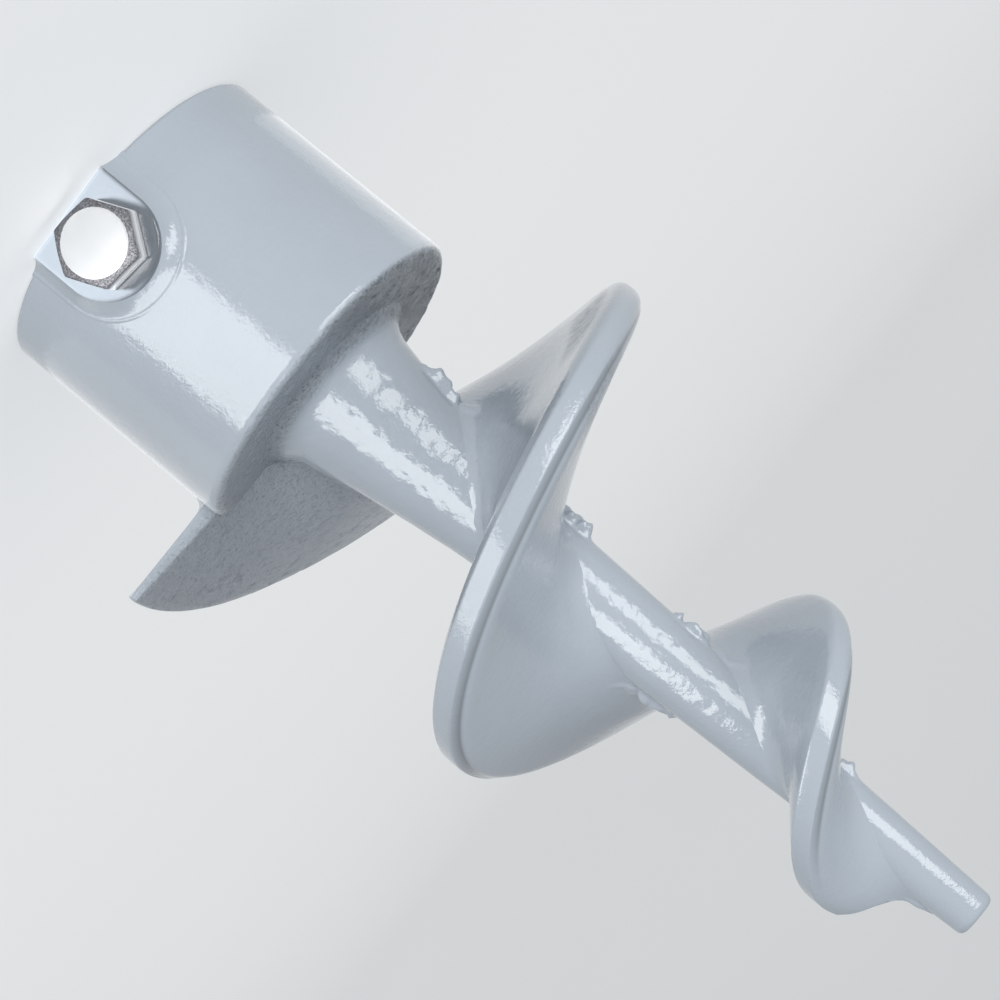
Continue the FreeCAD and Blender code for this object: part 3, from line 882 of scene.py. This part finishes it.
def root_weld_piece(name, surface, first, last, side, node):
    """One root weld: its skin between lip and toe, closed against the flank and the core."""
    stations, grid, rough, _ = surface
    rows = slice(first, last + 1)
    columns = slice(0, LOW_TOE + 1) if side < 0 else slice(HIGH_TOE, SECTION_COUNT)
    skin = grid[rows, columns]
    inner = [hidden_points(turns, (side,)) for turns in stations[rows]]
    whole = np.concatenate([skin, np.array(inner)], axis=1)
    width = skin.shape[1]
    piece = grid_piece(name, whole, (0, width - 1, width), ENAMEL, False)
    paint(piece, "cast", np.pad(rough[rows, columns], ((0, 0), (0, 1))))
    finish_piece(piece, "auger_point", "enamel_weld", node)


def make_flights():
    """Both flights, the weld that joins them and their four root welds."""
    surface = flight_surface()
    stations = surface[0]
    last = len(stations) - 1
    joint_start = int(np.argmin(abs(stations - JOINT_TURN + JOINT_HALF)))
    joint_middle = int(np.argmin(abs(stations - JOINT_TURN)))
    joint_end = int(np.argmin(abs(stations - JOINT_TURN - JOINT_HALF)))
    flight_piece("flight_upper", surface, 0, joint_start, "enamel", "upper_flight")
    flight_piece("flight_joint", surface, joint_start, joint_end, "enamel_weld",
                 "flight_joint_weld")
    flight_piece("flight_lower", surface, joint_end, last, "enamel", "lower_flight")
    for place, first, end in (("upper", 0, joint_middle), ("lower", joint_middle, last)):
        for side, word in ((-1, "top"), (1, "bottom")):
            root_weld_piece("root_weld_%s_%s" % (place, word), surface, first, end, side,
                            "%s_flight_%s_weld" % (place, word))


def wall_radius(height):
    """Outside radius of the disc at a height, with its rounded edge."""
    over = np.clip(height - (DISC_TOP - DISC_EDGE), 0, DISC_EDGE)
    return SOCKET_RADIUS - DISC_EDGE + math.sqrt(DISC_EDGE ** 2 - over ** 2)


START_WELD_POINTS = 9
START_WELD_STATIONS = 40
START_WELD_BURIED = 4
BELOW_FACE = 0.05
TUCKED = 0.08
OVERLAP = 0.6


def make_start_weld():
    """Fillet under the flight's first edge, where it leaves the side of the disc."""
    rings = []
    highest = DISC_TOP - BELOW_FACE
    buried = SOCKET_RADIUS - START_WELD_BURIED
    for turns in np.linspace(0.0008, START_WELD_TURNS, START_WELD_STATIONS):
        leg = START_WELD_LEG * (1 - 0.8 * smooth_step(turns / START_WELD_TURNS))
        face = float(flank(turns, -1, SOCKET_RADIUS))
        low = min(face - leg, highest)
        bend_height = min(face, highest)
        start = np.array([wall_radius(low) - TUCKED, low])
        bend = np.array([wall_radius(bend_height), bend_height])
        outer = SOCKET_RADIUS + leg
        finish = np.array([outer, float(flank(turns, -1, outer)) + TUCKED])
        skin = bend_points(start, bend, finish, START_WELD_POINTS)
        inside = np.array([buried, low])
        above = np.array([buried, finish[1] + OVERLAP])
        over = np.array([outer - 0.2, finish[1] + OVERLAP])
        ring = np.concatenate([skin, [finish, over, above, inside]])
        rings.append(polar(FLIGHT_ANGLE + 360 * turns, ring[:, 0], ring[:, 1]))
    corners = (0, *range(START_WELD_POINTS, START_WELD_POINTS + 4))
    piece = grid_piece("start_weld", np.array(rings), corners, ENAMEL, False)
    finish_piece(piece, "auger_point", "enamel_weld", "flight_start_weld")


# ------------------------------------------------------------- bolt and its pad

PAD_EDGE = 0.9
HOLE_EDGE = 0.5
HOLE_BOTTOM = 1.2
FOOT_SINK = 0.8
PAD_SKIN = slice(3, 20)
SKIRT_WIDTH = 4.6
SKIRT_POINTS = 22
SKIRT_BELOW_TOP = 1.1
SKIRT_OVERLAP = 0.3
SKIRT_SKIN = slice(2, SKIRT_POINTS)
RIDGE_HEIGHT = 0.32
RIDGE_PLACE = 3.9
RIDGE_HALF = 0.45
TOE_DROP = 0.12


def pad_reach(angle, inset):
    """Distance from the bolt's axis to the pad's outline, towards an angle from +X."""
    across, up = math.cos(angle), math.sin(angle)
    half = PAD_HALF - inset
    if up >= 0:
        return half
    reach = half / max(abs(across), 1e-6)
    return min(reach, (BOLT_HEIGHT - inset) / abs(up))


def pad_angles():
    """Angles round the pad, with one at each of its two corners."""
    corner_angle = math.atan2(BOLT_HEIGHT, PAD_HALF)
    stops = (-corner_angle, 0, math.pi, math.pi + corner_angle, 2 * math.pi - corner_angle)
    counts = (16, 90, 16, 40)
    parts = [np.linspace(start, finish, count, endpoint=False)
             for start, finish, count in zip(stops[:-1], stops[1:], counts)]
    return np.concatenate(parts)


def tube_depth(across, under=0.0):
    """Y of the tube's front, or of a place under its surface, at a distance across."""
    return -math.sqrt((SOCKET_RADIUS - under) ** 2 - across ** 2)


def pad_row(angle):
    """Points from the hole's wall over the flat top and the rounded edge to the pad's foot."""
    across, up = math.cos(angle), math.sin(angle)
    flat_end = pad_reach(angle, PAD_EDGE)
    outside = pad_reach(angle, 0)
    foot = tube_depth(outside * across, FOOT_SINK)
    spots = [(HOLE_RADIUS, -SOCKET_RADIUS + HOLE_BOTTOM), (HOLE_RADIUS, -PAD_TOP + HOLE_EDGE),
             (HOLE_RADIUS + HOLE_EDGE, -PAD_TOP)]
    for share in np.linspace(0.1, 1.0, 10):
        reach = HOLE_RADIUS + HOLE_EDGE + (flat_end - HOLE_RADIUS - HOLE_EDGE) * share
        spots.append((reach, -PAD_TOP))
    for step in range(1, 7):
        turn = math.radians(15 * step)
        spots.append((pad_reach(angle, PAD_EDGE * (1 - math.sin(turn))),
                      -PAD_TOP + PAD_EDGE * (1 - math.cos(turn))))
    for share in (0.5, 1.0):
        spots.append((outside, (-PAD_TOP + PAD_EDGE) * (1 - share) + foot * share))
    return [(reach * across, depth, BOLT_HEIGHT + reach * up) for reach, depth in spots]


def make_pad():
    """Raised flat U-shaped seat with a rounded edge and the bolt's hole."""
    grid = np.array([pad_row(angle) for angle in pad_angles()])
    relief = 0.5 * peel(grid[:, PAD_SKIN])
    grid[:, PAD_SKIN, Y] -= np.clip(relief, -1, 0.0)
    piece = grid_piece("pad", grid, (0, 1, grid.shape[1] - 1), ENAMEL, True)
    finish_piece(piece, "auger_point", "enamel", "bolt_pad")


def pad_rim():
    """Places round the pad's U with the way out at each: up one leg, over the top, down."""
    stations = [((PAD_HALF, height), (1, 0))
                for height in np.linspace(0, BOLT_HEIGHT, 18, endpoint=False)]
    for angle in np.linspace(0, math.pi, 90, endpoint=False):
        side, up = math.cos(angle), math.sin(angle)
        stations.append(((PAD_HALF * side, BOLT_HEIGHT + PAD_HALF * up), (side, up)))
    stations += [((-PAD_HALF, height), (-1, 0)) for height in np.linspace(BOLT_HEIGHT, 0, 19)]
    return stations


def skirt_row(across, height, side, up):
    """Points from the pad's side down the hollow skirt to its foot, and back inside."""
    wall = -PAD_TOP + SKIRT_BELOW_TOP
    top = tube_depth(across) - wall
    back_across = across - side * SKIRT_OVERLAP
    back_height = height - up * SKIRT_OVERLAP
    row = [(back_across, wall + SKIRT_OVERLAP, back_height)]
    for reach in np.linspace(0, SKIRT_WIDTH, SKIRT_POINTS):
        share = reach / SKIRT_WIDTH
        hollow = top * (1 - share) ** 2.4
        ridge = RIDGE_HEIGHT * math.exp(-((reach - RIDGE_PLACE) / RIDGE_HALF) ** 2)
        place = across + side * reach
        depth = tube_depth(place) - (hollow + ridge - TOE_DROP * share)
        row.append((place, depth, height + up * reach))
    place = across + side * SKIRT_WIDTH
    row.append((place, tube_depth(place, FOOT_SINK), height + up * SKIRT_WIDTH))
    row.append((back_across, tube_depth(across, FOOT_SINK), back_height))
    return row


def make_pad_weld():
    """Hollow skirt from the pad's side on to the tube, with a low ridge along its foot."""
    rows = [skirt_row(across, height, side, up) for (across, height), (side, up) in pad_rim()]
    grid = np.array(rows)
    shift = peel(grid[:, SKIRT_SKIN]) + 0.03 * ripple(grid[:, SKIRT_SKIN], 2.6, 5.0)
    grid[:, SKIRT_SKIN, Y] -= shift
    corners = (0, 1, SKIRT_POINTS, SKIRT_POINTS + 1, SKIRT_POINTS + 2)
    piece = grid_piece("pad_weld_skirt", grid, corners, ENAMEL, False)
    finish_piece(piece, "auger_point", "enamel_weld", "pad_weld")


HEAD_TURN = math.radians(52)
HEAD_FACE = 7.5
HEAD_CHAMFER = math.radians(30)
CORNER_ROUND = 0.12
BOLT_AROUND = 144
THREAD_DEPTH = 0.92
THREAD_STEPS = 12
END_CHAMFER = 1.0


def hexagon_reach(angle):
    """Distance from the axis to the head's side, with softened corners."""
    turned = (angle - HEAD_TURN) % (math.pi / 3) - math.pi / 6
    reach = HEAD_FLATS / 2 / math.cos(turned)
    return min(reach, HEAD_FLATS / math.sqrt(3) - CORNER_ROUND)


def head_profile(angle):
    """Radius and height over the seat, from the middle of the head's top to the shank."""
    top = HEAD_TOP - PAD_TOP
    side = hexagon_reach(angle)
    shoulder = top - (side - HEAD_FACE) * math.tan(HEAD_CHAMFER)
    profile = [(CENTRE, top), (3.0, top), (HEAD_FACE - 0.35, top),
               (HEAD_FACE - 0.2, top - 0.03), (HEAD_FACE, top - 0.12)]
    for share in (0.35, 0.7, 0.93):
        profile.append((HEAD_FACE + (side - HEAD_FACE) * share, top - (top - shoulder) * share))
    profile += [(side, shoulder - 0.2), (side, shoulder * 0.5), (side, 0.55), (side - 0.25, 0.3),
                (HEAD_FLATS / 2 - 0.4, 0.25), (HEAD_FLATS / 2 - 0.6, 0.0), (BOLT_RADIUS + 0.3, 0.0)]
    return profile


def make_bolt():
    """Hexagon head with a flat round top, and a shank with a real helical thread."""
    rows = []
    for number in range(BOLT_AROUND):
        angle = 2 * math.pi * number / BOLT_AROUND
        across, up = math.cos(angle), math.sin(angle)
        profile = head_profile(angle) + thread_profile(angle) + [(CENTRE, BOLT_END - PAD_TOP)]
        rows.append([(reach * across, -PAD_TOP - height, BOLT_HEIGHT + reach * up)
                     for reach, height in profile])
    grid = np.array(rows)
    piece = grid_piece("bolt", grid, (0, 2, 4, 8, 9, 11, 14), ZINC, True)
    columns = np.tile(np.arange(grid.shape[1]), BOLT_AROUND)
    paint(piece, "chamfer", ((columns >= 4) & (columns <= 8)).astype(float))
    finish_piece(piece, "bolt", "zinc_steel", "clamp_bolt")


def thread_profile(angle):
    """Radius along the shank, from the head down, for one angle round it."""
    end = PAD_TOP - BOLT_END
    profile = []
    for below in np.arange(0.3, end, THREAD_PITCH / THREAD_STEPS):
        phase = (below / THREAD_PITCH + angle / (2 * math.pi)) % 1
        groove = min(1.0, max(0.0, 1.25 - abs(2 * phase - 1) * 2))
        run_in = smooth_step((below - 0.8) / 1.2)
        taper = max(0.0, below - (end - END_CHAMFER))
        reach = min(BOLT_RADIUS - THREAD_DEPTH * groove * run_in, BOLT_RADIUS - taper)
        profile.append((float(reach), -float(below)))
    return profile


# ------------------------------------------------------- stage, light and camera

FLOOR_REACH = 1800.0
WALL_CURVE = 900.0
FLOOR_AROUND = 96
FLOOR_DROP = 0.05


def make_stage():
    """Pale floor that curves up into a pale wall all round, just under the socket's mouth."""
    outline = [(0.5, 0.0), (FLOOR_REACH * 0.5, 0.0), (FLOOR_REACH, 0.0)]
    for step in range(1, 13):
        turn = math.radians(7.5 * step)
        outline.append((FLOOR_REACH + WALL_CURVE * math.sin(turn),
                        WALL_CURVE * (1 - math.cos(turn))))
    outline = np.array(outline)
    angles = np.arange(FLOOR_AROUND) * 360 / FLOOR_AROUND
    grid = polar(angles[:, None], outline[None, :, 0], outline[None, :, 1])
    grid[..., Z] -= FLOOR_DROP
    width = len(outline)
    faces = []
    for face in grid_faces(FLOOR_AROUND, width, True):
        columns = (face[0] % width, face[2] % width)
        if max(columns) - min(columns) == 1:      # the outline stays open
            faces.append(face)
    floor = make_mesh("floor", grid.reshape(-1, 3), faces, make_backdrop_paint())
    floor.visible_diffuse = False


def add_light(name, place, aim, size, power):
    """Soft box. The place, the aim and the size are in millimetres."""
    data = bpy.data.lights.new(name, "AREA")
    data.shape = "RECTANGLE"
    data.size, data.size_y = size[0] * MM, size[1] * MM
    data.energy = power
    lamp = bpy.data.objects.new(name, data)
    lamp.location = Vector(place) * MM
    lamp.rotation_euler = (Vector(aim) - Vector(place)).to_track_quat("-Z", "Y").to_euler()
    lamp.visible_camera = False
    bpy.context.scene.collection.objects.link(lamp)
    return lamp


def light_only(lamp, pieces):
    """Let a light fall on some pieces only, with nothing but those pieces in its way."""
    group = bpy.data.collections.new(lamp.name + "_receivers")
    for piece in pieces:
        group.objects.link(piece)
    lamp.light_linking.receiver_collection = group
    lamp.light_linking.blocker_collection = group


def add_wash(name, place, size, power, pieces):
    """Soft light that doesn't show in the gloss."""
    lamp = add_light(name, place, (0, 0, 60), (size, size), power)
    lamp.visible_glossy = False
    light_only(lamp, pieces)


def add_card(name, place, aim, size, radiance, pieces):
    """Card that shows only in the gloss of some pieces, with a given brightness."""
    power = radiance * math.pi * size[0] * size[1] * MM ** 2
    card = add_light(name, place, aim, size, power)
    card.visible_diffuse = False
    light_only(card, pieces)


SOCKET_PIECES = ("tube", "seam_weld", "socket_disc", "pad_weld_skirt")


def make_lights():
    """Cards make the highlights in the gloss, and washes give the even light under them."""
    pieces = [piece for piece in bpy.data.objects if "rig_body" in piece and not piece.hide_render]
    socket = [piece for piece in pieces if piece.name in SOCKET_PIECES]
    others = [piece for piece in pieces
              if piece.name not in SOCKET_PIECES + ("pad", "flight_upper")]
    flight = [piece for piece in pieces if piece.name == "flight_upper"]
    seat = [piece for piece in pieces if piece.name in ("pad", "bolt")]
    bolt = [piece for piece in pieces if piece.name == "bolt"]
    all_but_pad = [piece for piece in pieces if piece.name != "pad"]
    key = ((50, -138, 82), (0, 0, 78), (104, 172))
    add_card("key", *key, 4.2, others)
    add_card("flight_key", *key, 2.6, flight)
    add_card("side", (-253, -197, 190), (0, 0, 140), (190, 200), 3.8, pieces)
    add_card("socket_key", (18, -72.8, 33), (0.7, -15.3, 33), (63.8, 66), 3.4, socket)
    add_card("socket_left", (-47.5, 31.7, 33), (-8.6, -13.9, 33), (45, 66), 0.4, socket)
    add_card("socket_right", (53.2, -2.2, 33), (-5.1, -16.5, 33), (71, 66), 0.3, socket)
    add_card("bolt_card", (-8, 13, BOLT_HEIGHT + 10), (0, -PAD_TOP - 3, BOLT_HEIGHT),
             (90, 90), 0.55, bolt)
    add_wash("front", (-400, -1000, 60), 450, 8.9, all_but_pad)
    add_wash("fill", (900, -550, 150), 700, 4.2, all_but_pad)
    add_wash("top", (-700, -300, 900), 700, 5, all_but_pad)
    add_wash("back", (300, 1100, 60), 700, 9, all_but_pad)
    add_wash("seat_light", (400, -800, -480), 150, 19, seat)
    light_only(add_light("floor_light", (0, 0, 2500), (0, 0, 0), (3500, 3500), 42),
               [bpy.data.objects["floor"]])
    world = bpy.data.worlds.new("studio")
    world.use_nodes = True
    background = world.node_tree.nodes["Background"]
    background.inputs["Color"].default_value = (0.95, 0.97, 1.0, 1.0)
    background.inputs["Strength"].default_value = 0.48
    bpy.context.scene.world = world


def make_camera():
    """Camera a little above the floor, rolled so that the tip points down to the right."""
    azimuth, elevation, roll = math.radians(-10.5), math.radians(8.61), math.radians(129.5)
    distance = 626.7
    back = Vector((math.sin(azimuth) * math.cos(elevation),
                   -math.cos(azimuth) * math.cos(elevation),
                   math.sin(elevation)))
    level = Vector((math.cos(azimuth), math.sin(azimuth), 0))
    upright = back.cross(level)
    right = level * math.cos(roll) + upright * math.sin(roll)
    up = back.cross(right)
    aim = Vector((-3.9, -0.3, 103.2)) * MM
    data = bpy.data.cameras.new("camera")
    data.sensor_width = 36
    data.lens = 104.4
    camera = bpy.data.objects.new("camera", data)
    turned = Matrix((right, up, back)).transposed().to_4x4()
    camera.matrix_world = Matrix.Translation(aim + back * distance * MM) @ turned
    bpy.context.scene.collection.objects.link(camera)
    bpy.context.scene.camera = camera


make_socket_tube()
make_seam_weld()
make_socket_base()
make_core()
make_foot_weld()
make_flights()
make_start_weld()
make_pad()
make_pad_weld()
make_bolt()
make_stage()
make_lights()
make_camera()
bpy.context.scene.view_settings.view_transform = "Standard"
